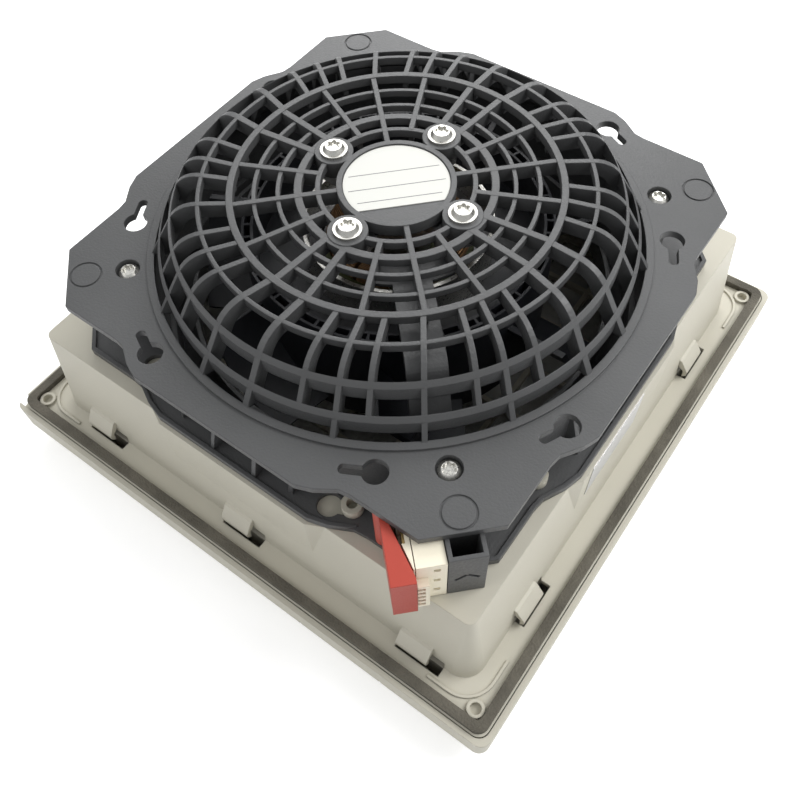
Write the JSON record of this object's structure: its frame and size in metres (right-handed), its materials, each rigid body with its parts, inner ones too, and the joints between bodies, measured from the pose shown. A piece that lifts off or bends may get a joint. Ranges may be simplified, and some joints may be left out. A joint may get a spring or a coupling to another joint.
{
  "type": "enclosure filter fan",
  "caption": "Square filter fan for a cabinet cut-out, with louvred cover, filter mat, foam seal and a bayonet fan module with domed guard.",
  "frame": {"origin": "middle of the front cover's face, at the bottom of the bounding box", "axes": "+Z from the louvred front to the fan side, +X and +Y along the sides of the square frame, the hinge of the cover at -X"},
  "size_m": [0.255, 0.255, 0.1313],
  "materials": {
    "housing_grey": "satin moulded",
    "foam": "matte foam",
    "mat": "fibre mat",
    "silver_foil": "satin",
    "black_plastic": "fine grain",
    "impeller_black": "satin",
    "lead_jacket": "satin",
    "die_cast": "cast",
    "laminations": "dull",
    "insulation": "dull",
    "copper": "enamelled",
    "white_label": "paper foil",
    "connector_white": "satin",
    "contact_brass": "plain",
    "red_plastic": "satin",
    "zinc_steel": "bright"
  },
  "bodies": {
    "housing": {"housing": "housing_grey", "sealing_gasket": "foam", "filter_mat": "mat", "mat_grid": "housing_grey", "type_label": "silver_foil"},
    "cover": {"front_grille": "housing_grey"},
    "fan_module": {"fan_carrier": "black_plastic", "fan_guard": "black_plastic", "inlet_ring": "black_plastic", "cable_duct": "black_plastic", "motor_lead": "lead_jacket", "motor_flange": "die_cast", "stator_core": "laminations", "slot_insulators": "insulation", "stator_windings": "copper", "upper_bearing": "zinc_steel", "lower_bearing": "zinc_steel", "bearing_spring": "zinc_steel", "motor_screws": "zinc_steel", "plate_screws": "zinc_steel", "hub_label": "white_label", "terminal_socket": "connector_white", "contact_clips": "contact_brass", "lever_pin": "zinc_steel"},
    "rotor": {"impeller": "impeller_black", "rotor_can": "zinc_steel", "rotor_cage": "laminations", "rotor_shaft": "zinc_steel", "shaft_circlip": "zinc_steel", "balance_clips": "zinc_steel"},
    "lever": {"release_lever": "red_plastic"},
    "plug": {"terminal_plug": "connector_white"}
  },
  "joints": [
    {"name": "cover_hinge", "type": "hinge", "parent": "housing", "child": "cover", "pos_m": [-0.1215, 0, 0.011], "axis": [0, 1, 0], "range_deg": [0, 75]},
    {"name": "module_twist", "type": "hinge", "parent": "housing", "child": "fan_module", "pos_m": [0, 0, 0.0706], "axis": [0, 0, 1], "range_deg": [0, 4.7]},
    {"name": "impeller_spin", "type": "hinge", "parent": "fan_module", "child": "rotor", "pos_m": [0, 0, 0.085], "axis": [0, 0, 1], "continuous": true},
    {"name": "lever_swing", "type": "hinge", "parent": "fan_module", "child": "lever", "pos_m": [0.06314, -0.09737, 0.086], "axis": [0, 0, 1], "range_deg": [-25, 0]},
    {"name": "plug_pull", "type": "slide", "parent": "fan_module", "child": "plug", "axis": [0.7071, -0.7071, 0], "range_m": [0, 0.02]}
  ]
}
